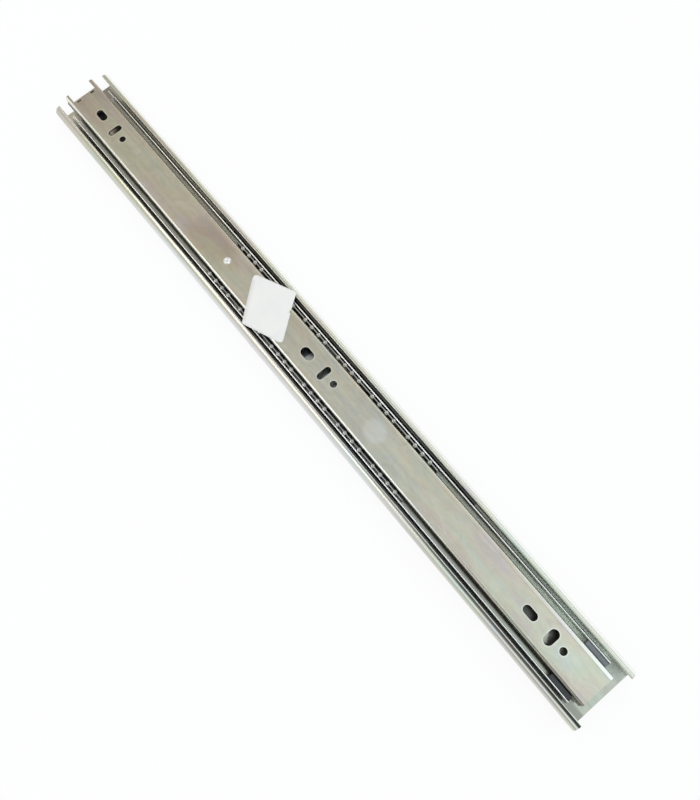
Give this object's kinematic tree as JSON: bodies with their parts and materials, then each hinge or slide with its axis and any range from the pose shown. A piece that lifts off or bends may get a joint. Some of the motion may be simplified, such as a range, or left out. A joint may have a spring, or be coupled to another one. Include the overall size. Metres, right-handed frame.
{
  "type": "drawer slide",
  "caption": "Full-extension ball-bearing drawer slide: cabinet, intermediate and drawer rails of zinc-plated sheet steel that telescope on caged balls, with a release lever.",
  "frame": {"origin": "middle of the cabinet rail's flat mounting face, the slide closed", "axes": "+X is the pull-out direction along the slide, +Y is across it, +Z goes from the cabinet's side to the drawer's side"},
  "size_m": [0.5025, 0.045, 0.0127],
  "materials": {
    "zinc_sheet": "bright zinc plating with fine rolling lines",
    "cage_sheet": "plain thin steel strip, lightly greased",
    "ball_steel": "polished bearing balls",
    "rivet_steel": "bright steel, flattened",
    "bumper_rubber": "black rubber",
    "bumper_plastic": "black moulded plastic",
    "guide_plastic": "slate-grey moulded plastic",
    "lever_plastic": "black moulded plastic"
  },
  "bodies": {
    "cabinet": {"cabinet_rail": "zinc_sheet", "rear_bumper": "bumper_rubber"},
    "intermediate": {"intermediate_rail": "zinc_sheet", "rear_guide_left": "guide_plastic", "rear_guide_right": "guide_plastic", "front_bumper": "bumper_plastic"},
    "drawer": {"drawer_rail": "zinc_sheet", "web_rivet": "rivet_steel", "lever_rivet": "rivet_steel"},
    "lever": {"release_lever": "lever_plastic"},
    "outer_cage_body": {"outer_cage": "cage_sheet", "outer_balls_left_1": "ball_steel", "outer_balls_left_2": "ball_steel", "outer_balls_left_3": "ball_steel", "outer_balls_left_4": "ball_steel", "outer_balls_left_5": "ball_steel", "outer_balls_left_6": "ball_steel", "outer_balls_right_1": "ball_steel", "outer_balls_right_2": "ball_steel", "outer_balls_right_3": "ball_steel", "outer_balls_right_4": "ball_steel", "outer_balls_right_5": "ball_steel", "outer_balls_right_6": "ball_steel"},
    "inner_cage_body": {"inner_cage": "cage_sheet", "inner_balls_left_1": "ball_steel", "inner_balls_left_2": "ball_steel", "inner_balls_left_3": "ball_steel", "inner_balls_left_4": "ball_steel", "inner_balls_left_5": "ball_steel", "inner_balls_left_6": "ball_steel", "inner_balls_right_1": "ball_steel", "inner_balls_right_2": "ball_steel", "inner_balls_right_3": "ball_steel", "inner_balls_right_4": "ball_steel", "inner_balls_right_5": "ball_steel", "inner_balls_right_6": "ball_steel"}
  },
  "joints": [
    {"name": "intermediate_slide", "type": "slide", "parent": "cabinet", "child": "intermediate", "axis": [1, 0, 0], "range_m": [0, 0.208]},
    {"name": "drawer_slide", "type": "slide", "parent": "intermediate", "child": "drawer", "axis": [1, 0, 0], "range_m": [0, 0.278]},
    {"name": "outer_cage_slide", "type": "slide", "parent": "cabinet", "child": "outer_cage_body", "axis": [1, 0, 0], "range_m": [0, 0.104]},
    {"name": "inner_cage_slide", "type": "slide", "parent": "intermediate", "child": "inner_cage_body", "axis": [1, 0, 0], "range_m": [0, 0.139]},
    {"name": "lever_hinge", "type": "hinge", "parent": "drawer", "child": "lever", "pos_m": [-0.09, 0, 0.0093], "axis": [0, 0, 1], "range_deg": [0, 7], "stiffness_Nm_per_rad": 0.05}
  ],
  "couplings": [
    {"joint": "outer_cage_slide", "follows": "intermediate_slide", "ratio": 0.5},
    {"joint": "inner_cage_slide", "follows": "drawer_slide", "ratio": 0.5}
  ]
}
